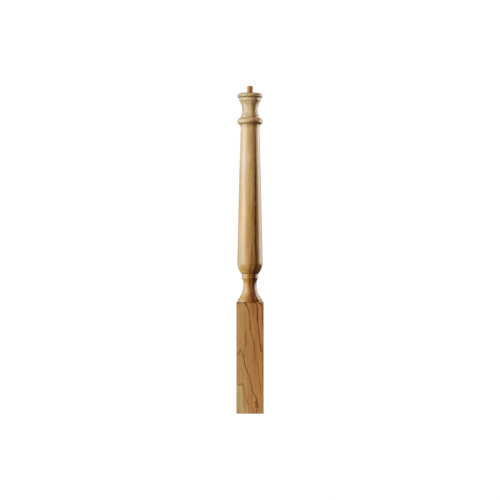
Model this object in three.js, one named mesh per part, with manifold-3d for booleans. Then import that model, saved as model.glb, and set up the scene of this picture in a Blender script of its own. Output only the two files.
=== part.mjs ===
// A wooden newel post, turned from one length of square stock. The foot of the stock stays a square block.
// Above it come a rounded shoulder, a hollow neck, a collar, a long tapered shaft with a rounded foot,
// a rounded ring, a hollow neck, a rounded cap and the pin that a handrail fitting is bored for.
// Lengths are in millimetres, +Z is up, and the origin is the middle of the underside.

import * as THREE from "three";
import { mergeVertices, toCreasedNormals } from "three/addons/utils/BufferGeometryUtils.js";
import Module from "manifold-3d";

// Square block
const stockWidth = 88.9; // planed square stock, 3 1/2 in
const arrisRadius = 1.6; // eased long edges of the block
const blockHeight = 361.2; // floor to the crown of the shoulder
const shoulderDrop = 3.7; // fall of the shoulder from its crown to the block's corners
const shoulderCrown = 0.8; // how far the shoulder bulges above a straight cone

// Foot, the low band that stands on the shoulder
const footDiameter = 79.6;
const footHeight = 8.3;
const footStep = 1; // ledge where the lower neck springs from the foot

// Lower neck, a hollow with its waist nearer the top
const lowerWaistDiameter = 43;
const lowerFlareHeight = 48.5; // foot to waist
const lowerThroatHeight = 20; // waist to collar

// Collar
const collarDiameter = 53;
const collarHeight = 15;
const collarStep = 0.9; // ledge under the collar, and the one over it

// Shaft and its rounded foot
const bulbHeight = 34.5;
const bulbFullness = 3; // how far the rounded foot bulges outside a straight cone
const shaftBottomDiameter = 82.4;
const shaftTopDiameter = 60.4;
const shaftHeight = 448;
const shaftEntasis = 0.5; // swelling of the shaft's side at half height

// Ring, with a narrow band under it
const ringBandDiameter = 64.2;
const ringBandHeight = 5;
const ringDiameter = 82.2;
const ringHeight = 22.3;
const ringCrestHeight = 9.4; // the widest place of the ring above its underside

// Upper neck, between a band that stands on the ring and a band that carries the cap
const neckBandDiameter = 59.2;
const neckBandHeight = 6.5;
const upperWaistDiameter = 50.8;
const upperThroatHeight = 17.5; // band to waist
const upperFlareHeight = 31.5; // waist to the cap's band
const neckTopDiameter = 68;
const capBandDiameter = 70.4;
const capBandHeight = 10.2;

// Cap and pin
const capDiameter = 82;
const capHeight = 14.3;
const capCrestHeight = 4.2; // the widest place of the cap above its underside
const capSeatDiameter = 66; // flat top of the cap, which a rail fitting rests on
const pinDiameter = 19.05; // 3/4 in
const pinLength = 24;
const pinChamfer = 1.2;

// Fineness of the facets
const turnFacets = 60; // round the post
const beadFacets = 10; // even, so that one row of corners lies on the crest
const hollowFacets = 6;
const flareFacets = 8;
const shaftFacets = 6;
const shoulderFacets = 3;
const arrisFacets = 3;

const sharpEdge = Math.PI / 6; // faces that meet more steeply than this are shaded with a crisp edge
const sawAllowance = 10; // stock that runs past each end of the turning before it is cut off

// The side of the turning as points of radius and height, drawn from the floor up.
class TurnedProfile {
  constructor(radius, height) {
    this.points = [new THREE.Vector2(0, height), new THREE.Vector2(radius, height)];
  }

  get end() {
    return this.points.at(-1);
  }

  // A straight run: a band where only the height changes, a ledge where only the radius does.
  line(radius, rise) {
    this.points.push(new THREE.Vector2(radius, this.end.y + rise));
    return this;
  }

  // A circular arc whose middle stands `bulge` outside its chord. A negative bulge makes it hollow.
  arc(radius, rise, bulge, facets) {
    const start = this.end.clone();
    const chord = new THREE.Vector2(radius - start.x, rise);
    const halfChord = chord.length() / 2;
    const outward = new THREE.Vector2(chord.y, -chord.x).normalize();
    const arcRadius = (halfChord ** 2 + bulge ** 2) / (2 * Math.abs(bulge));
    const halfAngle = 2 * Math.atan(Math.abs(bulge) / halfChord);
    for (let i = 1; i <= facets; i++) {
      const angle = halfAngle * ((2 * i) / facets - 1);
      const along = 0.5 + (arcRadius * Math.sin(angle)) / (2 * halfChord);
      const out = Math.sign(bulge) * arcRadius * (Math.cos(angle) - Math.cos(halfAngle));
      this.points.push(start.clone().addScaledVector(chord, along).addScaledVector(outward, out));
    }
    return this;
  }

  // A hollow arc that runs straight up the post at its narrow end, which is the waist.
  hollow(radius, rise, facets) {
    const narrowing = Math.abs(radius - this.end.x);
    const chordSquared = narrowing ** 2 + rise ** 2;
    const arcRadius = chordSquared / (2 * narrowing);
    const bulge = arcRadius - Math.sqrt(arcRadius ** 2 - chordSquared / 4);
    return this.arc(radius, rise, -bulge, facets);
  }

  // A rounded bead. It swells from the present radius to its crest, `crestRise` further up, and falls back
  // to the last radius over the rest of the rise. Each part is a quarter of an ellipse.
  bead(crestRadius, lastRadius, crestRise, rise, facets) {
    const start = this.end.clone();
    for (let i = 1; i <= facets; i++) {
      const angle = Math.PI * (i / facets - 0.5);
      const base = angle < 0 ? start.x : lastRadius;
      const reach = angle < 0 ? crestRise : rise - crestRise;
      const radius = base + (crestRadius - base) * Math.cos(angle);
      this.points.push(new THREE.Vector2(radius, start.y + crestRise + reach * Math.sin(angle)));
    }
    return this;
  }

  close() {
    this.points.push(new THREE.Vector2(0, this.end.y));
    return this.points;
  }
}

// The turning alone. Round the block it is wider than the stock, so that the block stays square.
function turningProfile() {
  const cornerRadius = stockWidth / Math.SQRT2;
  const shoulderFoot = blockHeight - shoulderDrop;
  const footRadius = footDiameter / 2;
  const collarRadius = collarDiameter / 2;
  return new TurnedProfile(cornerRadius, -sawAllowance)
    .line(cornerRadius, sawAllowance + shoulderFoot)
    .arc(footRadius, shoulderDrop, shoulderCrown, shoulderFacets)
    .line(footRadius, footHeight)
    .line(footRadius - footStep, 0)
    .hollow(lowerWaistDiameter / 2, lowerFlareHeight, flareFacets)
    .hollow(collarRadius - collarStep, lowerThroatHeight, hollowFacets)
    .line(collarRadius, 0)
    .line(collarRadius, collarHeight)
    .line(collarRadius + collarStep, 0)
    .arc(shaftBottomDiameter / 2, bulbHeight, bulbFullness, flareFacets)
    .arc(shaftTopDiameter / 2, shaftHeight, shaftEntasis, shaftFacets)
    .line(ringBandDiameter / 2, 0)
    .line(ringBandDiameter / 2, ringBandHeight)
    .bead(ringDiameter / 2, neckBandDiameter / 2, ringCrestHeight, ringHeight, beadFacets)
    .line(neckBandDiameter / 2, neckBandHeight)
    .hollow(upperWaistDiameter / 2, upperThroatHeight, hollowFacets)
    .hollow(neckTopDiameter / 2, upperFlareHeight, flareFacets)
    .line(capBandDiameter / 2, 0)
    .line(capBandDiameter / 2, capBandHeight)
    .bead(capDiameter / 2, capSeatDiameter / 2, capCrestHeight, capHeight, beadFacets)
    .line(pinDiameter / 2, 0)
    .line(pinDiameter / 2, pinLength - pinChamfer)
    .line(pinDiameter / 2 - pinChamfer, pinChamfer)
    .close();
}

// The planed stock: a square with eased corners, carried up past the top of the turning.
function stockGeometry(height) {
  const arrisCentre = stockWidth / 2 - arrisRadius;
  const section = new THREE.Shape();
  for (let corner = 0; corner < 4; corner++) {
    const turn = (corner * Math.PI) / 2;
    const centre = new THREE.Vector2(arrisCentre, arrisCentre).rotateAround(new THREE.Vector2(), turn);
    section.absarc(centre.x, centre.y, arrisRadius, turn, turn + Math.PI / 2, false);
  }
  return new THREE.ExtrudeGeometry(section, { depth: height, bevelEnabled: false, curveSegments: arrisFacets });
}

const wasm = await Module();
wasm.setup();

function solidFrom(geometry) {
  geometry.deleteAttribute("normal");
  geometry.deleteAttribute("uv");
  const merged = mergeVertices(geometry, 1e-3);
  return new wasm.Manifold(
    new wasm.Mesh({
      numProp: 3,
      vertProperties: merged.attributes.position.array,
      triVerts: new Uint32Array(merged.index.array),
    }),
  );
}

function geometryFrom(solid) {
  const mesh = solid.getMesh();
  const geometry = new THREE.BufferGeometry();
  geometry.setAttribute("position", new THREE.BufferAttribute(mesh.vertProperties, 3));
  geometry.setIndex(new THREE.BufferAttribute(mesh.triVerts, 1));
  return toCreasedNormals(geometry, sharpEdge);
}

const profile = turningProfile();
const overallHeight = profile.at(-1).y;
const turning = new THREE.LatheGeometry(profile, turnFacets).rotateX(Math.PI / 2);
const stock = stockGeometry(overallHeight + sawAllowance);

const maple = new THREE.MeshStandardMaterial({ color: 0xb98a5a, roughness: 0.42, metalness: 0 });
const post = new THREE.Mesh(geometryFrom(solidFrom(turning).intersect(solidFrom(stock))), maple);
post.name = "newel_post";

const newel = new THREE.Group();
newel.add(post);

export default newel;
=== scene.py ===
"""A turned wooden newel post on a pale studio floor.

Lengths of the post are in millimetres in the code that shapes it, and in metres on the meshes and settings.
+Z is up, the post stands on z = 0, and the camera looks along +Y at the front face of the block.
"""

import math
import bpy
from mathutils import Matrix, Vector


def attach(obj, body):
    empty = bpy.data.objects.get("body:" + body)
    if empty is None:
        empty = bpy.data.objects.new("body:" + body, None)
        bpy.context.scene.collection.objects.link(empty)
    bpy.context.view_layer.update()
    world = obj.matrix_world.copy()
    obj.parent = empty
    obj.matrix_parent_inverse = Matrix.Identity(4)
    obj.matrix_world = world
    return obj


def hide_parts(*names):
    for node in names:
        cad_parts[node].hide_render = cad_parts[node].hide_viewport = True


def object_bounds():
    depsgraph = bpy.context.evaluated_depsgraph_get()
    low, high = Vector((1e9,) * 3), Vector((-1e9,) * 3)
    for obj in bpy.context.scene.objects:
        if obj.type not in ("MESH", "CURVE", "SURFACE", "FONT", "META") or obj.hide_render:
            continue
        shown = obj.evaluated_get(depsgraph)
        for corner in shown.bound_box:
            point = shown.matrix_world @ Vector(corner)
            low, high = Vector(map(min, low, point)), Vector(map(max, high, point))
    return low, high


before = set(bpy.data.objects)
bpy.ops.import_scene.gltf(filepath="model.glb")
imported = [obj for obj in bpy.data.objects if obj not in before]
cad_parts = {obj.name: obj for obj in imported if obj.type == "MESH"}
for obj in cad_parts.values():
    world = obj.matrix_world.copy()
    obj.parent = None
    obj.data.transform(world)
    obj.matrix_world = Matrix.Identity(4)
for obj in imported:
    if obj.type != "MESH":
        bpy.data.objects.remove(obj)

from types import SimpleNamespace

import bpy
import numpy as np
from bpy.props import FloatProperty, FloatVectorProperty, PointerProperty
from bpy.types import Operator, Panel, PropertyGroup
from mathutils import Vector

bl_info = {
    "name": "Turned Newel Post",
    "version": (1, 0, 0),
    "blender": (4, 5, 0),
    "location": "View3D > Sidebar > Newel",
    "description": "Turns a maple newel post from square stock and sets up the studio round it",
    "category": "Add Mesh",
}

MM = 0.001
NODE = "newel_post"
CAD_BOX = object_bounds()
STOCK_WIDTH = (CAD_BOX[1].x - CAD_BOX[0].x) / MM
OVERALL_HEIGHT = CAD_BOX[1].z / MM
HEIGHT_TOLERANCE = 0.05  # how far the stacked heights may miss the height in the frame
PIN_FOOT = 1042.8  # height of the cap's flat top
PIN_BLEND = 0.5  # half the height over which the cap's finish ends at the pin

FACE_COLUMNS = 44  # columns of the surface on each face of the block, between its guard columns
ARRIS_COLUMNS = 7  # columns round each arris
SHOULDER_JOIN = 3  # how far outside the foot the square block's part of the surface ends
SHOULDER_SHADE_REACH = 2.4  # how far down the block the painted shade of the shoulder's dark line fades
CREASE_SHADE_REACH = 4.5  # distance from a corner over which its painted crease shade fades, as a multiple of the ease
RING_TOP_SHADE_LOSS = 0.75  # share of the painted crease shade taken off on top of the ring, which is lit
RING_TOP_REACH = 4
UNDERSIDE_SHADE = 0.47  # painted shade on the round undersides of the ring and the cap
UNDERSIDE_RISE = 4.7  # height of its darkest place above each underside
UNDERSIDE_REACH = 3

COAT_WEIGHT = 0.25
COAT_ROUGHNESS = 0.22
SAPWOOD = (0.6, 0.4, 0.2, 1)
SIDE_SLOPE = 2.4  # how steeply a streak climbs over the sides of the block, as rise over depth

# Colours of the lamps, the panels and the dim room.
WHITE_LIGHT = (1.0, 1.0, 1.0)
KEY_LIGHT = (0.95, 1.0, 1.0)
WINDOW_LIGHT = (0.7, 1.0, 1.02)
WARM_LIGHT = (1.1, 1.0, 0.84)
CEILING_LIGHT = (0.95, 0.95, 0.72)
ROOM_LIGHT = (1, 0.96, 0.88, 1)

# Lamps light the wood and aren't mirrored in it: name, azimuth and elevation in degrees, and colour.
LAMPS = (("key", -67, 8, KEY_LIGHT), ("fill", 0, 30, WHITE_LIGHT), ("rim", 128, 30, WHITE_LIGHT))
LAMP_SIZE = (0.9, 1.7)
LAMP_DISTANCE = 1.9

# Panels are only mirrored in the wood: name, azimuth and elevation in degrees, height, and colour.
PANELS = (
    ("left_sheen", -70, 14, 1.75, WINDOW_LIGHT),
    ("far_left_sheen", -110, 10, 2.2, WINDOW_LIGHT),
    ("high_sheen", -30, 45, 2.2, CEILING_LIGHT),
    ("right_sheen", 115, 12, 1.4, WARM_LIGHT),
)
PANEL_WIDTH = 1.6
PANEL_DISTANCE = 1.8

FLOOR_HALF_WIDTH = 9.0
FLOOR_DEPTH = 7.0
BACKDROP_HEIGHT = 7.0
BACKDROP_BEND = 2.5
FLOOR_GAP = 0.0003  # gap between the floor and the underside of the post

# Points of the tone curve between black and white, as linear scene light and linear print light.
TONE_CURVE = ((0.0142, 0.012), (0.0392, 0.05), (0.0921, 0.16), (0.2272, 0.42), (0.4893, 0.72))
WHITE_LEVEL = 0.66  # linear scene light that prints as white


def length(name, description, size):
    """A length setting. Its default is given in millimetres and kept in metres."""
    return FloatProperty(
        name=name, description=description, default=size * MM, min=0, unit="LENGTH", precision=5
    )


def colour(name, description, linear):
    return FloatVectorProperty(
        name=name, description=description, default=linear, subtype="COLOR", size=3, min=0, max=1
    )


def share(name, description, default):
    return FloatProperty(name=name, description=description, default=default, min=0, max=1, subtype="FACTOR")


def power(name, description, watts):
    return FloatProperty(name=name, description=description, default=watts, min=0, unit="POWER")


class NewelSizes(PropertyGroup):
    """Sizes of the post. The lengths that stack up from the floor are listed from the floor up."""

    stock_width: length("Stock width", "Width of the square stock", STOCK_WIDTH)
    arris_radius: length("Arris radius", "Easing of the block's long edges", 1.6)
    block_height: length("Block height", "Floor to the crown of the shoulder", 361.2)
    shoulder_drop: length("Shoulder drop", "Fall of the shoulder to the block's corners", 3.7)
    shoulder_crown: length("Shoulder crown", "Bulge of the shoulder above a straight cone", 0.8)
    foot_diameter: length("Foot diameter", "Low band on the shoulder", 79.6)
    foot_height: length("Foot height", "Height of the foot band", 8.3)
    foot_step: length("Foot step", "Ledge where the lower neck springs from the foot", 1)
    lower_waist_diameter: length("Lower waist diameter", "Narrowest place of the lower neck", 43)
    lower_flare_height: length("Lower flare height", "Foot to lower waist", 48.5)
    lower_throat_height: length("Lower throat height", "Lower waist to collar", 20)
    collar_diameter: length("Collar diameter", "Collar under the shaft", 53)
    collar_height: length("Collar height", "Height of the collar", 15)
    collar_step: length("Collar step", "Ledges under and over the collar", 0.9)
    bulb_height: length("Bulb height", "Height of the shaft's rounded foot", 34.5)
    bulb_fullness: length("Bulb fullness", "Bulge of the rounded foot outside a cone", 3)
    shaft_bottom_diameter: length("Shaft bottom diameter", "Widest place of the shaft", 82.4)
    shaft_top_diameter: length("Shaft top diameter", "Narrow end of the shaft", 60.4)
    shaft_height: length("Shaft height", "Length of the tapered shaft", 448)
    shaft_entasis: length("Shaft entasis", "Swelling of the shaft's side at half height", 0.5)
    ring_band_diameter: length("Ring band diameter", "Narrow band under the ring", 64.2)
    ring_band_height: length("Ring band height", "Height of that band", 5)
    ring_diameter: length("Ring diameter", "Crest of the rounded ring", 82.2)
    ring_height: length("Ring height", "Height of the ring", 22.3)
    ring_crest_height: length("Ring crest height", "Widest place of the ring above its underside", 9.4)
    neck_band_diameter: length("Neck band diameter", "Band that stands on the ring", 59.2)
    neck_band_height: length("Neck band height", "Height of that band", 6.5)
    upper_waist_diameter: length("Upper waist diameter", "Narrowest place of the upper neck", 50.8)
    upper_throat_height: length("Upper throat height", "Band to upper waist", 17.5)
    upper_flare_height: length("Upper flare height", "Upper waist to the cap's band", 31.5)
    neck_top_diameter: length("Neck top diameter", "Top of the upper neck", 68)
    cap_band_diameter: length("Cap band diameter", "Band that carries the cap", 70.4)
    cap_band_height: length("Cap band height", "Height of that band", 10.2)
    cap_diameter: length("Cap diameter", "Widest place of the rounded cap", 82)
    cap_height: length("Cap height", "Height of the cap", 14.3)
    cap_crest_height: length("Cap crest height", "Widest place of the cap above its underside", 4.2)
    cap_seat_diameter: length("Cap seat diameter", "Flat top of the cap", 66)
    pin_diameter: length("Pin diameter", "Pin on top of the cap", 19.05)
    pin_length: length("Pin length", "Height of the pin above the cap", 24)
    pin_chamfer: length("Pin chamfer", "Chamfer at the end of the pin", 1.2)
    ease: length("Ease", "Sanded rounding of the crisp edges", 0.45)


class MapleFinish(PropertyGroup):
    """Colours and finish of the wood."""

    foot_colour: colour("Foot colour", "Wood near the floor", (0.46, 0.225, 0.092))
    top_colour: colour("Top colour", "Wood near the cap", (0.56, 0.375, 0.2))
    late_colour: colour("Late wood colour", "Dark side of the growth rings", (0.27, 0.104, 0.03))
    # paler wood at the left, partly painted light from the key light at the left
    pale_lit_colour: colour("Pale colour", "Pale wood at the left", (0.56, 0.35, 0.16))
    mineral_colour: colour("Mineral colour", "Dark mineral streaks", (0.12, 0.035, 0.008))
    # real darkening of the end grain, set strong enough to also paint the shade at the shoulder and the
    # undersides
    end_grain_and_shade_darkening: share("End grain darkening", "How much the end grain darkens", 0.6)
    ring_spacing: length("Ring spacing", "Mean width of a growth ring", 4.2)
    roughness: share("Roughness", "Roughness of the satin finish", 0.3)


class StudioSettings(PropertyGroup):
    """Camera and lights."""

    camera_distance: length("Camera distance", "Camera to the axis of the post", 4500)
    camera_height: length("Camera height", "Camera above the floor", 530.8)
    focal_length: FloatProperty(name="Focal length", description="Lens, in mm", default=99.04, unit="CAMERA")
    key_watts: power("Key light", "Softbox at the left", 38)
    fill_watts: power("Fill light", "Softbox high at the front", 7)
    rim_watts: power("Rim light", "Softbox behind at the right", 18)
    left_sheen: power("Left sheen", "Panel at the left, seen only as a reflection", 17.5)
    far_left_sheen: power("Far left sheen", "Panel beside it, seen only as a reflection", 5.7)
    high_sheen: power("High sheen", "Panel above at the left, seen only as a reflection", 3.7)
    right_sheen: power("Right sheen", "Panel behind at the right, seen only as a reflection", 16.5)
    sky_level: share("Sky level", "Brightness of the dim room above the horizon", 0.17)
    ground_level: share("Ground level", "Brightness of the dim room below the horizon", 0.05)


def millimetres(group):
    """The group's lengths as a plain object of the same names, in millimetres."""
    return SimpleNamespace(**{name: getattr(group, name) / MM for name in group.__annotations__})


class Outline:
    """The side of the turning, drawn from the floor up as runs of (radius, height) points."""

    def __init__(self, run):
        self.runs = [np.asarray(run, float)]

    @property
    def end(self):
        return self.runs[-1][-1]

    def add(self, run):
        self.runs.append(run)
        return self

    def line(self, radius, rise, steps=1):
        """A straight run to a new radius, `rise` further up."""
        target = np.array([radius, self.end[1] + rise])
        return self.add(self.end + (target - self.end) * np.linspace(0, 1, steps + 1)[:, None])

    def arc(self, radius, rise, bulge, steps):
        """A circular arc whose middle stands `bulge` outside its chord. A negative bulge makes it hollow."""
        chord = np.array([radius - self.end[0], rise])
        half = np.hypot(*chord) / 2
        outward = np.array([chord[1], -chord[0]]) / (2 * half)
        arc_radius = (half**2 + bulge**2) / (2 * abs(bulge))
        half_angle = 2 * math.atan(abs(bulge) / half)
        angle = half_angle * np.linspace(-1, 1, steps + 1)
        along = 0.5 + arc_radius * np.sin(angle) / (2 * half)
        out = math.copysign(arc_radius, bulge) * (np.cos(angle) - math.cos(half_angle))
        return self.add(self.end + along[:, None] * chord + out[:, None] * outward)

    def hollow(self, radius, rise, steps):
        """A hollow arc that runs straight up the post at its narrow end, which is the waist."""
        narrowing = abs(radius - self.end[0])
        chord_squared = narrowing**2 + rise**2
        arc_radius = chord_squared / (2 * narrowing)
        return self.arc(radius, rise, math.sqrt(arc_radius**2 - chord_squared / 4) - arc_radius, steps)

    def bead(self, crest_radius, last_radius, crest_rise, rise, steps):
        """A rounded bead made of two quarter ellipses that meet at the crest, `crest_rise` further up."""
        angle = np.pi * np.linspace(-0.5, 0.5, steps + 1)
        base = np.where(angle < 0, self.end[0], last_radius)
        reach = np.where(angle < 0, crest_rise, rise - crest_rise)
        radius = base + (crest_radius - base) * np.cos(angle)
        return self.add(np.column_stack([radius, self.end[1] + crest_rise + reach * np.sin(angle)]))

    def eased(self, ease):
        """All points from the floor up, with each corner between two runs rounded, and how sharp each one is.

        A corner is replaced by a parabola that leaves and meets its runs `ease` away from the corner.
        The second result is above 0 in a hollow corner and below 0 on a proud edge, and fades with distance.
        """
        corners = np.array([run[0] for run in self.runs[1:]])
        trimmed = [trim(run, ease) for run in self.runs]
        pieces = [trimmed[0]]
        t = np.linspace(0, 1, 6)[1:-1, None]
        for corner, before, after in zip(corners, trimmed[:-1], trimmed[1:]):
            pieces += [(1 - t) ** 2 * before[-1] + 2 * t * (1 - t) * corner + t**2 * after[0], after]
        points = np.concatenate(pieces)
        turns = []
        for before, after in zip(self.runs[:-1], self.runs[1:]):
            way_in = unit(before[-1] - before[-2])
            way_out = unit(after[1] - after[0])
            turns.append(way_in[1] * way_out[0] - way_in[0] * way_out[1])
        away = np.linalg.norm(points[:, None] - corners[None], axis=2) / (CREASE_SHADE_REACH * ease)
        return points, (np.array(turns) * np.exp(-(away**2))).sum(1)


def unit(vector):
    return vector / np.hypot(*vector)


def trim(run, ease):
    """The run without its last `ease` at either end, with one more point close to each new end.

    Positions are taken along the run, and points between them by straight interpolation.
    """
    along = np.concatenate([[0], np.cumsum(np.hypot(*np.diff(run, axis=0).T))])
    cut = min(ease, 0.4 * along[-1])
    guard = min(ease, 0.05 * along[-1])
    kept = along[(along > cut + 2 * guard) & (along < along[-1] - cut - 2 * guard)]
    ends = [cut, cut + guard, along[-1] - cut - guard, along[-1] - cut]
    where = np.sort(np.concatenate([ends, kept]))
    return np.column_stack([np.interp(where, along, run[:, axis]) for axis in (0, 1)])


def turning(s):
    """The turned part as an Outline, from a place on the shoulder near the foot up to the pin's end."""
    shoulder_start = s.foot_diameter / 2 + SHOULDER_JOIN
    radius = np.linspace(shoulder_start, s.foot_diameter / 2, 5)
    outline = Outline(np.column_stack([radius, shoulder_height(s, radius)]))
    return (
        outline.line(s.foot_diameter / 2, s.foot_height, 4)
        .line(s.foot_diameter / 2 - s.foot_step, 0)
        .hollow(s.lower_waist_diameter / 2, s.lower_flare_height, 26)
        .hollow(s.collar_diameter / 2 - s.collar_step, s.lower_throat_height, 14)
        .line(s.collar_diameter / 2, 0)
        .line(s.collar_diameter / 2, s.collar_height, 5)
        .line(s.collar_diameter / 2 + s.collar_step, 0)
        .arc(s.shaft_bottom_diameter / 2, s.bulb_height, s.bulb_fullness, 26)
        .arc(s.shaft_top_diameter / 2, s.shaft_height, s.shaft_entasis, 40)
        .line(s.ring_band_diameter / 2, 0)
        .line(s.ring_band_diameter / 2, s.ring_band_height, 3)
        .bead(s.ring_diameter / 2, s.neck_band_diameter / 2, s.ring_crest_height, s.ring_height, 32)
        .line(s.neck_band_diameter / 2, s.neck_band_height, 4)
        .hollow(s.upper_waist_diameter / 2, s.upper_throat_height, 14)
        .hollow(s.neck_top_diameter / 2, s.upper_flare_height, 20)
        .line(s.cap_band_diameter / 2, 0)
        .line(s.cap_band_diameter / 2, s.cap_band_height, 4)
        .bead(s.cap_diameter / 2, s.cap_seat_diameter / 2, s.cap_crest_height, s.cap_height, 28)
        .line(s.pin_diameter / 2, 0, 6)
        .line(s.pin_diameter / 2, s.pin_length - s.pin_chamfer, 6)
        .line(s.pin_diameter / 2 - s.pin_chamfer, s.pin_chamfer, 2)
        .line(s.pin_diameter / 8, 0, 3)
    )


def shoulder_height(s, radius):
    """Height of the shoulder at a radius: a straight cone plus a parabola that is 0 at both its ends."""
    corner_radius = s.stock_width / math.sqrt(2)
    t = (corner_radius - radius) / (corner_radius - s.foot_diameter / 2)
    return s.block_height - s.shoulder_drop * (1 - t) + 4 * s.shoulder_crown * t * (1 - t)


def column_angles(s):
    """Directions of the surface's columns: even over the four faces, and close together round each arris."""
    half = s.stock_width / 2
    arris = math.atan2(half - s.arris_radius, half)
    guard = math.radians(0.5)
    face = np.linspace(-arris + 2 * guard, arris - 2 * guard, FACE_COLUMNS)
    face = np.concatenate([[-arris + guard], face, [arris - guard]])
    corner = np.linspace(arris, np.pi / 2 - arris, ARRIS_COLUMNS)
    quarter = np.concatenate([face, corner])
    return np.concatenate([quarter + turn * np.pi / 2 for turn in range(4)])


def stock_radius(s, angle):
    """Distance from the axis to the side of the eased square stock, in each direction.

    Where the ray meets a flat side that is half the width over the cosine. Round an arris it is the far
    crossing of the ray with the arris circle.
    """
    half = s.stock_width / 2
    centre = half - s.arris_radius
    long_way = np.maximum(abs(np.cos(angle)), abs(np.sin(angle)))
    short_way = np.minimum(abs(np.cos(angle)), abs(np.sin(angle)))
    flat = half / long_way
    middle = centre * (long_way + short_way)
    rounded = middle + np.sqrt(np.maximum(middle**2 - 2 * centre**2 + s.arris_radius**2, 0))
    return np.where(flat * short_way > centre, rounded, flat)


def block_rows(s, side):
    """Radii, heights and creases of the block's rows in every column, from the underside's middle up.

    `side` is the stock's radius in each column. The underside is a share of it, the wall stands on it, and
    the shoulder falls away to it. Both edges of the wall are rounded by parabolas. The crease shade, painted
    shade for the dark line at the shoulder, is 1 on the shoulder and fades over the last few millimetres of
    the wall.
    """
    edge = s.ease
    top = shoulder_height(s, side)
    shoulder_edge = side - edge
    t = np.linspace(0, 1, 6)[:, None]

    def parabola(start, corner, end):
        return [(1 - t) ** 2 * a + 2 * t * (1 - t) * b + t**2 * c for a, b, c in zip(start, corner, end)]

    nothing = np.zeros_like(side)
    under = np.array([0.25, 0.5, 0.75, 0.96])[:, None] * side
    rows = [(under, under * 0), (side[None] - 2 * edge, nothing[None])]
    rows.append(parabola((side - edge, nothing), (side, nothing), (side, nothing + edge)))
    rise = np.concatenate([[0.003], np.linspace(0.01, 0.98, 14)])[:, None]
    rows.append((side + rise * 0, edge + rise * (top - 2 * edge)))
    near_top = top - SHOULDER_SHADE_REACH * np.array([1, 0.75, 0.5, 0.25])[:, None]
    rows.append((side + near_top * 0, near_top))
    rows.append(parabola((side, top - edge), (side, top), (shoulder_edge, shoulder_height(s, shoulder_edge))))
    inward = np.concatenate([[0.02], np.linspace(0.1, 0.9, 8)])[:, None]
    radius = shoulder_edge + inward * (s.foot_diameter / 2 + SHOULDER_JOIN - shoulder_edge)
    rows.append((radius, shoulder_height(s, radius)))
    radii, heights = (np.concatenate(part) for part in zip(*rows))
    return radii, heights, np.clip(1 - (top - heights) / SHOULDER_SHADE_REACH, 0, 1)


def painted_crease_shade(s, height, sharpness):
    """Painted shade on the turning, from the sharpness of its corners: dark in the hollow corners.

    It is weaker on top of the ring, which is lit, and the undersides of the ring and the cap get a soft
    painted shade. Both follow a bell curve, exp(-(distance / reach)^2), of the height.
    """

    def bell(centre, reach):
        return np.exp(-(((height - centre) / reach) ** 2))

    cap_underside = OVERALL_HEIGHT - s.pin_length - s.cap_height
    ring_top = cap_underside - s.cap_band_height - s.upper_flare_height - s.upper_throat_height
    ring_top -= s.neck_band_height
    crease = sharpness * (1 - RING_TOP_SHADE_LOSS * bell(ring_top, RING_TOP_REACH))
    for underside in (ring_top - s.ring_height, cap_underside):
        shade = UNDERSIDE_SHADE * bell(underside + UNDERSIDE_RISE, UNDERSIDE_REACH)
        crease = np.maximum(crease, np.where(height > underside, shade, 0))
    return crease


def surface_of_post(s):
    """The whole surface as one polar grid: for each row and column a radius, a direction and a height.

    A point is (radius cos angle, radius sin angle, height). Below the foot, radius and height differ from
    column to column, and above it every row is a circle. One point closes each pole.
    """
    angle = column_angles(s)
    low_radius, low_height, low_crease_shade = block_rows(s, stock_radius(s, angle))
    points, sharpness = turning(s).eased(s.ease)
    columns = np.ones_like(angle)
    radius = np.concatenate([low_radius, points[:, :1] * columns])
    height = np.concatenate([low_height, points[:, 1:] * columns])
    # painted shade of the turning's corners and undersides, and of the block's shoulder below
    crease = np.repeat(painted_crease_shade(s, points[:, 1], sharpness), angle.size)
    crease = np.concatenate([low_crease_shade.ravel(), crease])
    grid = np.stack([radius * np.cos(angle), radius * np.sin(angle), height], axis=2)
    poles = [[0, 0, 0], [0, 0, points[-1, 1]]]
    return np.concatenate([grid.reshape(-1, 3), poles]) * MM, np.append(crease, [0, 0]), radius.shape


def grid_faces(rows, columns):
    """Quads between the rows of a closed grid, counted so that they face outwards, and a fan at each pole."""
    row = np.arange(rows - 1)[:, None] * columns
    here = np.arange(columns)
    after = (here + 1) % columns
    quads = np.stack([row + here, row + after, row + columns + after, row + columns + here], axis=2)
    bottom, top = rows * columns, rows * columns + 1
    last = (rows - 1) * columns
    floor_fan = np.column_stack([np.full(columns, bottom), after, here])
    top_fan = np.column_stack([np.full(columns, top), last + here, last + after])
    return quads.reshape(-1, 4), np.concatenate([floor_fan, top_fan])


def mesh_object(name, points, quads, triangles):
    """A smooth-shaded object at the origin, made from arrays of points, quads and triangles."""
    mesh = bpy.data.meshes.new(name)
    corners = np.concatenate([quads.ravel(), triangles.ravel()]).astype(np.int32)
    sizes = np.concatenate([np.full(len(quads), 4), np.full(len(triangles), 3)]).astype(np.int32)
    mesh.vertices.add(len(points))
    mesh.vertices.foreach_set("co", points.astype(np.float32).ravel())
    mesh.loops.add(len(corners))
    mesh.loops.foreach_set("vertex_index", corners)
    mesh.polygons.add(len(sizes))
    mesh.polygons.foreach_set("loop_start", np.concatenate([[0], np.cumsum(sizes)[:-1]]).astype(np.int32))
    mesh.update(calc_edges=True)
    mesh.validate()
    mesh.shade_smooth()
    made = bpy.data.objects.new(name, mesh)
    bpy.context.collection.objects.link(made)
    return made


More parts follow.
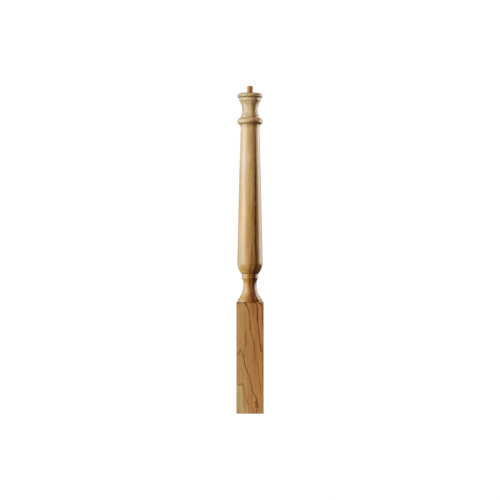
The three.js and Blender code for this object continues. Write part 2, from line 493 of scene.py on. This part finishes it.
class NodeKit:
    """Adds shader nodes to one tree. An input takes a number, a tuple or another node's output."""

    def __init__(self, tree):
        self.tree = tree

    def plug(self, value, socket):
        """Link an output to the socket, or set the socket to a plain value."""
        if isinstance(value, bpy.types.NodeSocket):
            self.tree.links.new(value, socket)
        else:
            socket.default_value = value

    def node(self, kind, inputs=None, **settings):
        made = self.tree.nodes.new(kind)
        for name, value in settings.items():
            setattr(made, name, value)
        for key, value in (inputs or {}).items():
            self.plug(value, made.inputs[key])
        return made

    def math(self, operation, *values, clamp=False):
        made = self.node("ShaderNodeMath", dict(enumerate(values)), operation=operation, use_clamp=clamp)
        return made.outputs[0]

    def times(self, a, b):
        return self.math("MULTIPLY", a, b)

    def minus(self, a, b):
        return self.math("SUBTRACT", a, b)

    def diagonal(self, across, up):
        """The square root of the sum of both squares."""
        return self.math("SQRT", self.math("ADD", *(self.math("POWER", side, 2.0) for side in (across, up))))

    def stretched(self, position, sizes):
        """Position divided by a size on each axis, so that a noise of scale 1 has features of those sizes."""
        made = self.node("ShaderNodeVectorMath", {0: position, 1: sizes}, operation="DIVIDE")
        return made.outputs["Vector"]

    def noise(self, position, sizes, detail=2.0, roughness=0.5):
        """A number near 0.5 that varies over the given distances along X, Y and Z."""
        place = self.stretched(position, sizes)
        inputs = {"Vector": place, "Scale": 1, "Detail": detail, "Roughness": roughness}
        return self.node("ShaderNodeTexNoise", inputs).outputs["Fac"]

    def between(self, value, low, high, start=0.0, end=1.0):
        """A smooth step from start to end as the value goes from low to high."""
        inputs = {"Value": value, "From Min": low, "From Max": high, "To Min": start, "To Max": end}
        return self.node("ShaderNodeMapRange", inputs, interpolation_type="SMOOTHSTEP").outputs["Result"]

    def blend(self, factor, a, b, mode="MIX"):
        """Colour a turning into colour b by the factor."""
        inputs = {0: factor, 6: a, 7: b}
        return self.node("ShaderNodeMix", inputs, data_type="RGBA", blend_type=mode).outputs[2]

    def separate(self, vector):
        return self.node("ShaderNodeSeparateXYZ", {0: vector}).outputs

    def group(self, tree, **inputs):
        """A copy of a node group with its own values."""
        return self.node("ShaderNodeGroup", inputs, node_tree=tree).outputs


def new_group(name, inputs, outputs):
    """An empty shader node group, its kit, its input sockets and its output node."""
    tree = bpy.data.node_groups.new(name, "ShaderNodeTree")
    for socket_name, kind, default in inputs:
        socket = tree.interface.new_socket(name=socket_name, in_out="INPUT", socket_type=kind)
        if default is not None:
            socket.default_value = default
    for socket_name, kind in outputs:
        tree.interface.new_socket(name=socket_name, in_out="OUTPUT", socket_type=kind)
    kit = NodeKit(tree)
    return tree, kit, kit.node("NodeGroupInput").outputs, kit.node("NodeGroupOutput").inputs


def growth_ring_group():
    """Growth rings as cylinders about a leaning pith, wandering a little up the tree.

    Ring is 0 in early wood and rises to 1 at the dark end of each year's ring. Band is a slow change from
    one group of years to the next.
    """
    tree, kit, given, result = new_group(
        "Growth rings",
        [
            ("Position", "NodeSocketVector", None),
            ("Pith X", "NodeSocketFloat", -24.0),
            ("Pith Y", "NodeSocketFloat", 78.0),
            ("Lean", "NodeSocketFloat", 0.02),
            ("Spacing", "NodeSocketFloat", 4.2),
        ],
        [("Ring", "NodeSocketFloat"), ("Band", "NodeSocketFloat")],
    )
    x, y, z = kit.separate(given["Position"])[:3]
    wander = kit.minus(kit.noise(given["Position"], (55, 55, 260), 2.0), 0.5)
    ripple = kit.minus(kit.noise(given["Position"], (14, 14, 60), 2.0), 0.5)
    across = kit.minus(x, given["Pith X"])
    leaning = kit.math("MULTIPLY_ADD", z, given["Lean"], given["Pith Y"])
    through = kit.minus(y, leaning)
    radius = kit.math("MULTIPLY_ADD", wander, 26.0, kit.diagonal(across, through))
    radius = kit.math("MULTIPLY_ADD", ripple, 2.6, radius)
    years = kit.math("DIVIDE", radius, given["Spacing"])
    year_share = kit.math("FRACT", years)
    late = kit.math("POWER", year_share, 3.0)
    kit.plug(kit.times(late, kit.between(year_share, 1.0, 0.93)), result["Ring"])
    outward = kit.math("DIVIDE", radius, 9.0)
    age = kit.node("ShaderNodeCombineXYZ", {0: outward, 2: kit.math("DIVIDE", z, 420.0)})
    band = kit.node("ShaderNodeTexNoise", {"Vector": age.outputs[0], "Scale": 1, "Detail": 3.0})
    kit.plug(band.outputs["Fac"], result["Band"])
    return tree


# Tints that turn the mean wood colour into that of each height, as (height in mm, red, green, blue).
HEIGHT_TINTS = (
    (0, 1.26, 1.32, 1.42), (60, 1.21, 1.26, 1.34), (150, 1.11, 1.14, 1.21), (345, 1.07, 1.08, 1.12),
    (372, 0.9, 0.81, 0.45), (395, 0.98, 0.94, 0.68), (432, 0.94, 0.89, 0.65), (438, 0.86, 0.79, 0.52),
    (452, 0.86, 0.79, 0.52), (458, 1.06, 1.07, 0.94), (480, 1.0, 1.02, 0.9), (510, 0.94, 0.96, 0.84),
    (640, 1.0, 0.98, 0.8), (790, 0.99, 0.99, 0.86), (840, 1.17, 1.16, 1.07), (925, 1.18, 1.17, 1.08),
    (960, 0.92, 0.98, 0.97),
)


def height_tint_group():
    """The wood's slow change of colour from the foot to the top, as a tint to multiply by."""
    tree, kit, given, result = new_group(
        "Tint by height", [("Height", "NodeSocketFloat", 0.0)], [("Tint", "NodeSocketColor")]
    )
    ramp = kit.node("ShaderNodeValToRGB", {0: kit.math("DIVIDE", given["Height"], OVERALL_HEIGHT)})
    elements = ramp.color_ramp.elements
    ramp.color_ramp.interpolation = "EASE"
    elements[0].color = (*HEIGHT_TINTS[0][1:], 1)
    elements[1].position = HEIGHT_TINTS[-1][0] / OVERALL_HEIGHT
    elements[1].color = (*HEIGHT_TINTS[-1][1:], 1)
    for height, *tint in HEIGHT_TINTS[1:-1]:
        elements.new(height / OVERALL_HEIGHT).color = (*tint, 1)
    kit.plug(ramp.outputs["Color"], result["Tint"])
    return tree


def fibre_group():
    """Wood fibres along the post: fine and broad streaks, the short dark pores of maple, and its flecks."""
    tree, kit, given, result = new_group(
        "Wood fibres",
        [("Position", "NodeSocketVector", None)],
        [(name, "NodeSocketFloat") for name in ("Fine", "Broad", "Pores", "Flecks")],
    )
    kit.plug(kit.noise(given["Position"], (2.2, 2.2, 90), 4.0, 0.7), result["Fine"])
    kit.plug(kit.noise(given["Position"], (6, 6, 170), 3.0, 0.55), result["Broad"])
    pores = kit.between(kit.noise(given["Position"], (0.3, 0.3, 3.2), 1.0), 0.66, 0.78)
    kit.plug(pores, result["Pores"])
    flecks = kit.between(kit.noise(given["Position"], (3.4, 3.4, 6.5), 2.0), 0.5, 0.68)
    kit.plug(flecks, result["Flecks"])
    return tree


# Dark mineral streaks of the front, the one on the shaft partly painted shade: the width of each, and its
# route as (height, place across, strength).
# Lengths are in mm on the face of the block, and strengths are shares of full darkness.
MINERAL_ROUTES = {
    "left_of_middle": (3.0, [
        (364, -19.5, 0.9), (346, -9, 1), (335, -4.8, 1), (305, -1.6, 0.75), (288, 0, 0.8),
        (263, 4.5, 0.5), (230, 12.2, 0.6), (207, 15, 0.5), (172, 20, 0.3), (149, 27, 0.45),
        (97, 32.4, 0.45), (60, 37, 0.1),
    ]),
    "bulb_to_right_edge": (3.8, [
        (560, 20, 0), (492, 21.3, 0.9), (472, 18.3, 1), (456, 14.4, 1), (425, 11.4, 1), (412, 11.3, 1),
        (397, 12.8, 1), (386, 17.1, 1), (377, 20.3, 1), (371, 22.4, 1), (366, 24.2, 1), (361, 27.5, 1),
        (357, 32.5, 1), (352, 37.6, 0.9), (345, 39.8, 0.8), (300, 41, 0.7), (275, 42.5, 0.1),
    ]),
    "middle_of_neck": (3.6, [
        (560, 5.5, 0.2), (520, 5.5, 0.6), (492, 4.3, 0.6), (470, 0, 0.75), (455, -1.8, 0.8),
        (430, -1.6, 0.75), (412, 0.4, 0.6), (399, 1.8, 0.6), (387, 4.9, 1), (377, 8.1, 1), (366, 13, 1),
        (360, 16.4, 1), (354, 21.5, 1), (324, 23.7, 1), (296, 25, 0.95), (285, 26.6, 0.85),
        (243, 31.1, 0.8), (201, 37.2, 0.8),
    ]),
    # partly a real mineral streak, partly painted shade: the dark band between the key and the rim light on
    # the shaft's right
    "shaft_streak_and_shade": (4.2, [
        (960, 16, 0), (900, 16.5, 0.45), (800, 17.4, 0.88), (700, 17.8, 0.93), (600, 17.9, 1),
        (520, 18.3, 0.85), (480, 20, 0),
    ]),
    "shaft_middle": (1.8, [(860, -2, 0), (800, -1.6, 0.3), (690, -2.6, 0.35), (600, 0.5, 0.3), (560, 1, 0)]),
    "below_the_shoulder": (2.8, [(362, 11, 0.5), (325, 11.5, 0.55), (305, 12.3, 0.3), (262, 14.6, 0)]),
    "edge_of_flare": (3.4, [
        (400, 15, 0), (388, 19.4, 0.85), (377, 22.8, 0.9), (371, 25.2, 0.7), (369, 26, 0),
    ]),
    "right_edge": (3.5, [(230, 44, 0), (201, 40.5, 0.5), (150, 42, 0.5), (110, 42.3, 0.3), (70, 42.5, 0.15)]),
    "arch_left_limb": (2.7, [(211, -30, 0.75), (200, -36, 0.85), (187, -44, 0.85)]),
    "arch_right_limb": (2.7, [
        (210, -31, 0.8), (191, -23, 0.85), (164, -17, 1), (147, -12.7, 1), (120, -2.9, 0.75),
        (94, 3.9, 0.7), (79, 6.8, 0.85), (66, 11, 0.9), (55, 18.7, 0.8), (43, 20.8, 0.9),
        (28, 24, 0.7), (14, 22.6, 0.75), (0, 22.2, 0.7),
    ]),
    "corner_line": (2.5, [
        (96, -23, 0.7), (84, -20.4, 0.65), (65, -16.2, 0.4), (48, -11.4, 0.5), (26, -5.6, 0.4),
        (0, -2.6, 0.1),
    ]),
    "faint_line": (2.6, [
        (306, -15, 0.1), (270, -14.6, 0.35), (246, -14.9, 0.75), (230, -12.6, 0.8),
        (216, -15.5, 0.6), (186, -18, 0.3),
    ]),
}

# The streak that dips across the left of the face, as (place across, height, strength).
LEVEL_WIDTH = 2.2
LEVEL_ROUTE = [
    (-22, 93.5, 0.9), (-25, 95.5, 0.85), (-28, 97.5, 0.8), (-33.4, 94, 0.85), (-37, 95.4, 0.85),
    (-41.9, 103.5, 0.8), (-45, 106.5, 0.8),
]

# Rings and spots of the pin knots: place across, height, radius of the ring, its thickness and its strength.
KNOTS = (
    (20.6, 35.6, 3.4, 2.5, 1.0),
    (22.0, 24.8, 4.2, 2.5, 1.0),
    (25.4, 25.0, 0.0, 3.2, 1.0),
    (15.0, 276.0, 0.0, 5.0, 0.45),
    (-29.5, 285.0, 0.0, 2.6, 0.5),
    (7.0, 170.0, 4.5, 2.2, 0.3),
)

# Soft patches on the front: place across and height, reach across and up, strength, and colour. Without a
# colour of its own a patch is darkened with the mineral colour: a mineral stain, except the thin one just
# under the ring's crest, which is painted shade.
PATCHES = (
    ((6, 379), (29, 26), 0.77, None),
    ((3, 410), (16, 56), 0.36, None),
    ((12, 346), (20, 40), 0.2, None),
    # painted shade on the underside of the ring, mostly at its right
    ((12, 946.8), (28, 4.8), 0.66, None),
    ((-1, 988), (14, 45), 0.5, (0.72, 0.5, 0.29, 1)),
    ((-22, 860), (26, 140), 0.7, (0.38, 0.29, 0.15, 1)),
)


def curve_node(kit, value, routes, low, high):
    """A curves node that turns the value, from 0 to 1, into up to three others, one from each route.

    A route is a list of (place, result) pairs with places and results from 0 to 1.
    """
    made = kit.node("ShaderNodeRGBCurve")
    for curve, route in zip(made.mapping.curves, routes):
        route = sorted(route)
        curve.points[0].location = route[0]
        curve.points[1].location = route[-1]
        for place in route[1:-1]:
            curve.points.new(*place)
    made.mapping.update()
    level = kit.math("DIVIDE", kit.minus(value, low), high - low, clamp=True)
    grey = kit.node("ShaderNodeCombineColor", {0: level, 1: level, 2: level}).outputs[0]
    kit.plug(grey, made.inputs["Color"])
    return kit.node("ShaderNodeSeparateColor", {0: made.outputs[0]}).outputs


def streak_place(kit, along, route, least=-64.0, most=64.0):
    """Place and strength of a streak at each point along it, and 0 strength beyond both its ends.

    The places lie between the least and the most that the curve can give.
    """
    low, high = route[-1][0], route[0][0]
    centres = [((at - low) / (high - low), (place - least) / (most - least)) for at, place, strength in route]
    strengths = [((at - low) / (high - low), strength) for at, place, strength in route]
    outputs = curve_node(kit, along, (centres, strengths), low, high)
    centre = kit.math("MULTIPLY_ADD", outputs[0], most - least, least)
    inside = kit.times(kit.between(along, low - 1, low + 1), kit.between(along, high + 1, high - 1))
    return centre, kit.times(outputs[1], inside)


def mineral_group():
    """Dark mineral streaks: thin leaves in the wood that come out as lines on the front half of the post.

    Each leaf stands at a place across the post that depends on the height alone, so that it can be followed
    from the face of the block onto the turning. Its darkness falls off with the distance from the leaf.
    Inside the block the leaves climb with the depth behind the front face.
    """
    tree, kit, given, result = new_group(
        "Mineral streaks", [("Position", "NodeSocketVector", None)], [("Dark", "NodeSocketFloat")]
    )
    x, y, z = kit.separate(given["Position"])[:3]
    tremble = kit.minus(kit.noise(given["Position"], (8, 30, 10), 4.0, 0.6), 0.5)
    x = kit.math("MULTIPLY_ADD", tremble, 3.0, x)
    depth = kit.math("ADD", y, STOCK_WIDTH / 2)
    z = kit.minus(z, kit.times(depth, kit.between(z, 358.0, 352.0, 0.0, SIDE_SLOPE)))
    thickness = kit.between(kit.noise(given["Position"], (12, 30, 26), 2.0), 0.3, 0.7, 0.7, 1.35)

    def leaf(distance, width, strength):
        away = kit.math("DIVIDE", kit.math("ABSOLUTE", distance), thickness)
        core = kit.between(away, 0.78 * width, 0.22 * width)
        halo = kit.between(away, 2.3 * width, 0.0, 0.0, 0.2)
        return kit.times(kit.math("MAXIMUM", core, halo), strength)

    level, strength = streak_place(kit, x, LEVEL_ROUTE, 64.0, 128.0)
    total = leaf(kit.minus(z, level), LEVEL_WIDTH, strength)
    for width, route in MINERAL_ROUTES.values():
        centre, strength = streak_place(kit, z, route)
        total = kit.math("MAXIMUM", total, leaf(kit.minus(x, centre), width, strength))
    front = kit.between(y, -7.0, -14.0)
    kit.plug(kit.times(total, front), result["Dark"])
    return tree


def stray_streak_group():
    """Faint streaks away from the front: zero lines of a long noise, kept where a slower noise is high."""
    tree, kit, given, result = new_group(
        "Stray mineral streaks", [("Position", "NodeSocketVector", None)], [("Dark", "NodeSocketFloat")]
    )
    field = kit.minus(kit.noise(given["Position"], (34, 34, 330), 2.0), 0.47)
    line = kit.between(kit.math("ABSOLUTE", field), 0.011, 0.002)
    kept = kit.between(kit.noise(given["Position"], (40, 40, 150), 1.0), 0.52, 0.62)
    behind = kit.between(kit.separate(given["Position"])[1], -30.0, -12.0)
    kit.plug(kit.times(kit.times(line, kept), behind), result["Dark"])
    return tree


def patch(kit, position, centre, sizes, strength):
    """A soft patch on the front half: strongest at its centre, and 0 where its sizes across and up end."""
    inputs = {0: position, 1: (centre[0], 0, centre[1])}
    offset = kit.node("ShaderNodeVectorMath", inputs, operation="SUBTRACT").outputs[0]
    x, y, z = kit.separate(kit.stretched(offset, (sizes[0], 1, sizes[1])))[:3]
    inside = kit.between(kit.diagonal(x, z), 1.0, 0.1, 0.0, strength)
    return kit.times(inside, kit.between(y, -5.0, -15.0))


def knot_mask(kit, position):
    """Two small rings of a pin knot in the front face, the dark spot beside them, and three faint marks.

    A ring is dark where the distance from its centre is near its radius.
    """
    x, y, z = kit.separate(position)[:3]
    front = kit.between(y, -36.0, -40.0)
    total = None
    for place_x, place_z, radius, thickness, strength in KNOTS:
        away = kit.diagonal(kit.minus(x, place_x), kit.minus(z, place_z))
        away = kit.math("ABSOLUTE", kit.minus(away, radius))
        ring = kit.between(away, thickness, 0.2, 0.0, strength)
        total = ring if total is None else kit.math("MAXIMUM", total, ring)
    return kit.times(total, front)


def maple_material(finish):
    """Clear-finished maple as one solid block of wood, so that the grain runs on round every corner."""
    material = bpy.data.materials.new("satin_maple")
    material.use_nodes = True
    material.node_tree.nodes.clear()
    kit = NodeKit(material.node_tree)
    place = kit.node("ShaderNodeTexCoord").outputs["Object"]
    position = kit.node("ShaderNodeVectorMath", {0: place, "Scale": 1 / MM}, operation="SCALE").outputs[0]
    x, y, z = kit.separate(position)[:3]

    rings = kit.group(growth_ring_group(), Position=position, Spacing=finish.ring_spacing / MM)
    fibres = kit.group(fibre_group(), Position=position)
    minerals = kit.group(mineral_group(), Position=position)["Dark"]
    strays = kit.group(stray_streak_group(), Position=position)["Dark"]
    knot = knot_mask(kit, position)

    foot, top = (*finish.foot_colour, 1), (*finish.top_colour, 1)
    late, pale_lit = (*finish.late_colour, 1), (*finish.pale_lit_colour, 1)
    mineral = (*finish.mineral_colour, 1)
    wood = kit.blend(kit.between(z, 250.0, 1060.0), foot, top)

    # Slow changes: paler towards the left, partly real paler wood and partly painted light from the key at
    # the left, and sapwood low in the left corner, bounded by the corner line.
    wandering_x = kit.math("MULTIPLY_ADD", kit.noise(position, (40, 40, 120)), 30.0, x)
    # partly painted light: the side that faces the key light is made paler
    wood = kit.blend(kit.between(wandering_x, 10.0, -8.0, 0.0, 0.52), wood, pale_lit)
    corner = streak_place(kit, z, MINERAL_ROUTES["corner_line"][1])[0]
    sapwood = kit.times(kit.between(kit.minus(x, corner), 0.0, -5.0), kit.between(z, 96.0, 84.0))
    sapwood = kit.times(sapwood, kit.between(y, -20.0, -34.0))
    wood = kit.blend(kit.times(sapwood, 0.62), wood, SAPWOOD)

    # Grain: broad and fine streaks, groups of years, single years, pores, and flecks on the block alone.
    wood = kit.blend(kit.between(fibres["Broad"], 0.35, 0.72, 0.0, 0.42), wood, late)
    wood = kit.blend(kit.between(rings["Band"], 0.42, 0.7, 0.0, 0.38), wood, late)
    wood = kit.blend(kit.times(rings["Ring"], 0.4), wood, late)
    wood = kit.blend(kit.between(fibres["Fine"], 0.38, 0.7, 0.0, 0.42), wood, late)
    wood = kit.blend(kit.times(fibres["Pores"], 0.22), wood, mineral)
    on_block = kit.between(z, 372.0, 352.0, 0.0, 0.34)
    wood = kit.blend(kit.times(fibres["Flecks"], on_block), wood, late)
    wood = kit.blend(1.0, wood, kit.group(height_tint_group(), Height=z)["Tint"], "MULTIPLY")

    # Stains, painted shade under the ring, pale patches and dark streaks.
    for centre, sizes, strength, tone in PATCHES:
        wood = kit.blend(patch(kit, position, centre, sizes, strength), wood, tone or mineral)
    dark = kit.math("MAXIMUM", kit.math("MAXIMUM", minerals, kit.times(strays, 0.6)), knot)
    wood = kit.blend(kit.times(dark, 0.95), wood, mineral)

    # End grain drinks the finish and darkens, strongly enough to also paint shade on the shoulder and the
    # undersides; the pin is bare wood; and painted shade darkens the creases and the undersides of the ring
    # and the cap.
    normal_z = kit.separate(kit.node("ShaderNodeNewGeometry").outputs["Normal"])[2]
    # end grain darkening: partly the real end grain, partly painted shade on the shoulder and the undersides
    end_grain = kit.between(kit.math("ABSOLUTE", normal_z), 0.7, 0.97)
    wood = kit.blend(kit.times(end_grain, finish.end_grain_and_shade_darkening), wood, mineral)
    bare = kit.between(z, PIN_FOOT - PIN_BLEND, PIN_FOOT + PIN_BLEND)
    wood = kit.blend(kit.times(bare, 0.93), wood, late)
    # painted shade from the crease attribute: hollow corners, the shoulder line, and under the ring and the
    # cap
    crease = kit.node("ShaderNodeAttribute", attribute_name="crease").outputs["Fac"]
    wood = kit.blend(kit.between(crease, 0.1, 1.0, 0.0, 0.75), wood, mineral)

    relief = kit.math("MULTIPLY_ADD", fibres["Fine"], 0.6, kit.times(fibres["Pores"], -0.5))
    relief = kit.math("MULTIPLY_ADD", rings["Ring"], 0.25, relief)
    bump = kit.node("ShaderNodeBump", {"Strength": 0.16, "Distance": 0.00005, "Height": relief})
    rough = kit.between(fibres["Broad"], 0.3, 0.7, finish.roughness - 0.04, finish.roughness + 0.05)
    rough = kit.math("MULTIPLY_ADD", end_grain, 0.14, rough)
    rough = kit.math("MULTIPLY_ADD", bare, 0.3, rough)
    shader = kit.node(
        "ShaderNodeBsdfPrincipled",
        {
            "Base Color": wood,
            "Roughness": rough,
            "Normal": bump.outputs[0],
            "IOR": 1.5,
            "Coat Weight": kit.math("MULTIPLY_ADD", bare, -COAT_WEIGHT, COAT_WEIGHT),
        },
    )
    shader.inputs["Coat Roughness"].default_value = COAT_ROUGHNESS
    output = kit.node("ShaderNodeOutputMaterial")
    kit.plug(shader.outputs[0], output.inputs["Surface"])
    return material


class NEWEL_OT_turn_post(Operator):
    """Turn the newel post from its square stock and give it its maple finish"""

    bl_idname = "newel.turn_post"
    bl_label = "Turn Newel Post"

    def execute(self, context):
        s = millimetres(context.scene.newel_sizes)
        points, crease, shape = surface_of_post(s)
        if abs(points[-1, 2] / MM - OVERALL_HEIGHT) > HEIGHT_TOLERANCE:
            raise RuntimeError("the stacked heights don't add up to the height of the post in the frame")
        post = mesh_object("turned_newel_post", points, *grid_faces(*shape))
        # the painted shade goes with the mesh as a point attribute
        attribute = post.data.attributes.new("crease", "FLOAT", "POINT")
        attribute.data.foreach_set("value", crease.astype(np.float32))
        post.data.materials.append(maple_material(context.scene.maple_finish))
        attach(post, "root")
        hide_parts(NODE)
        return {"FINISHED"}


def sweep_profile(depth, height, bend):
    """A floor that turns up into a backdrop along a quarter circle, as points of (distance back, height)."""
    turn = np.linspace(0, np.pi / 2, 24)
    curve = np.column_stack([depth - bend + bend * np.sin(turn), bend - bend * np.cos(turn)])
    return np.concatenate([[[-depth, 0]], curve, [[depth, height]]])


def paper_material():
    """Plain white studio paper that glows a little, so that it stays pale all over the picture."""
    material = bpy.data.materials.new("studio_paper")
    material.use_nodes = True
    shader = material.node_tree.nodes["Principled BSDF"]
    shader.inputs["Base Color"].default_value = (0.08, 0.08, 0.08, 1)
    shader.inputs["Roughness"].default_value = 0.9
    shader.inputs["Specular IOR Level"].default_value = 0.0
    shader.inputs["Emission Color"].default_value = (1, 1, 1, 1)
    shader.inputs["Emission Strength"].default_value = WHITE_LEVEL
    return material


def softbox(name, azimuth, elevation, distance, size, watts, tone, target):
    """An area light that faces the target. Its angles are in degrees from the camera's side of the post."""
    azimuth, elevation = math.radians(azimuth), math.radians(elevation)
    light = bpy.data.lights.new(name, "AREA")
    light.shape = "RECTANGLE"
    light.size, light.size_y = size
    light.energy = watts
    light.color = tone
    lamp = bpy.data.objects.new(name, light)
    level = math.cos(elevation)
    way = Vector((math.sin(azimuth) * level, -math.cos(azimuth) * level, math.sin(elevation)))
    lamp.location = target + way * distance
    lamp.rotation_euler = (-way).to_track_quat("-Z", "Y").to_euler()
    bpy.context.collection.objects.link(lamp)
    return lamp


def develop(view):
    """A print-like tone curve: deep darks, lifted middle tones and soft highlights."""
    view.view_transform = "Standard"
    view.look = "None"
    view.use_curve_mapping = True
    view.curve_mapping.extend = "HORIZONTAL"
    tones = view.curve_mapping.curves[3]
    tones.points[1].location = (WHITE_LEVEL, 1.0)
    for place in TONE_CURVE:
        tones.points.new(*place)
    view.curve_mapping.update()


class NEWEL_OT_set_studio(Operator):
    """Lay the pale floor and backdrop and place the camera and the soft lights"""

    bl_idname = "newel.set_studio"
    bl_label = "Set Studio"

    def execute(self, context):
        scene = context.scene
        studio = scene.newel_studio
        profile = sweep_profile(FLOOR_DEPTH, BACKDROP_HEIGHT, BACKDROP_BEND)
        sides = (-FLOOR_HALF_WIDTH, FLOOR_HALF_WIDTH)
        points = np.array([[x, y, z - FLOOR_GAP] for y, z in profile for x in sides])
        start = np.arange(len(profile) - 1) * 2
        quads = np.column_stack([start, start + 1, start + 3, start + 2])
        floor = mesh_object("studio_floor", points, quads, np.zeros((0, 3), int))
        floor.data.materials.append(paper_material())
        floor.visible_diffuse = False
        floor.visible_glossy = False

        camera = bpy.data.objects.new("camera", bpy.data.cameras.new("camera"))
        camera.location = (0, -studio.camera_distance, studio.camera_height)
        camera.rotation_euler = (math.pi / 2, 0, 0)
        camera.data.lens = studio.focal_length
        camera.data.sensor_width = 36
        camera.data.clip_end = 60
        scene.collection.objects.link(camera)
        scene.camera = camera

        middle = Vector((0, 0, 0.6))
        for name, azimuth, elevation, tone in LAMPS:
            watts = getattr(studio, name + "_watts")
            lamp = softbox(name, azimuth, elevation, LAMP_DISTANCE, LAMP_SIZE, watts, tone, middle)
            lamp.visible_glossy = False
        for name, azimuth, elevation, height, tone in PANELS:
            size, watts = (PANEL_WIDTH, height), getattr(studio, name)
            panel = softbox(name, azimuth, elevation, PANEL_DISTANCE, size, watts, tone, middle)
            panel.visible_diffuse = False

        world = bpy.data.worlds.new("dim_room")
        world.use_nodes = True
        background = world.node_tree.nodes["Background"]
        background.inputs["Color"].default_value = ROOM_LIGHT
        kit = NodeKit(world.node_tree)
        height = kit.separate(kit.node("ShaderNodeTexCoord").outputs["Generated"])[2]
        level = kit.between(height, -0.25, 0.25, studio.ground_level, studio.sky_level)
        kit.plug(level, background.inputs["Strength"])
        scene.world = world
        develop(scene.view_settings)
        return {"FINISHED"}


class NEWEL_PT_sidebar(Panel):
    """Settings and steps of the newel post"""

    bl_label = "Newel Post"
    bl_idname = "NEWEL_PT_sidebar"
    bl_space_type = "VIEW_3D"
    bl_region_type = "UI"
    bl_category = "Newel"

    def draw(self, context):
        for title, group, operator in (
            ("Sizes", context.scene.newel_sizes, None),
            ("Maple", context.scene.maple_finish, NEWEL_OT_turn_post),
            ("Studio", context.scene.newel_studio, NEWEL_OT_set_studio),
        ):
            box = self.layout.box()
            box.label(text=title)
            for name in group.__annotations__:
                box.prop(group, name)
            if operator:
                box.operator(operator.bl_idname)


CLASSES = (
    NewelSizes,
    MapleFinish,
    StudioSettings,
    NEWEL_OT_turn_post,
    NEWEL_OT_set_studio,
    NEWEL_PT_sidebar,
)


def register():
    for cls in CLASSES:
        bpy.utils.register_class(cls)
    bpy.types.Scene.newel_sizes = PointerProperty(type=NewelSizes)
    bpy.types.Scene.maple_finish = PointerProperty(type=MapleFinish)
    bpy.types.Scene.newel_studio = PointerProperty(type=StudioSettings)


def unregister():
    del bpy.types.Scene.newel_sizes
    del bpy.types.Scene.maple_finish
    del bpy.types.Scene.newel_studio
    for cls in reversed(CLASSES):
        bpy.utils.unregister_class(cls)


def main():
    register()
    bpy.ops.newel.turn_post()
    bpy.ops.newel.set_studio()


if __name__ == "__main__":
    main()
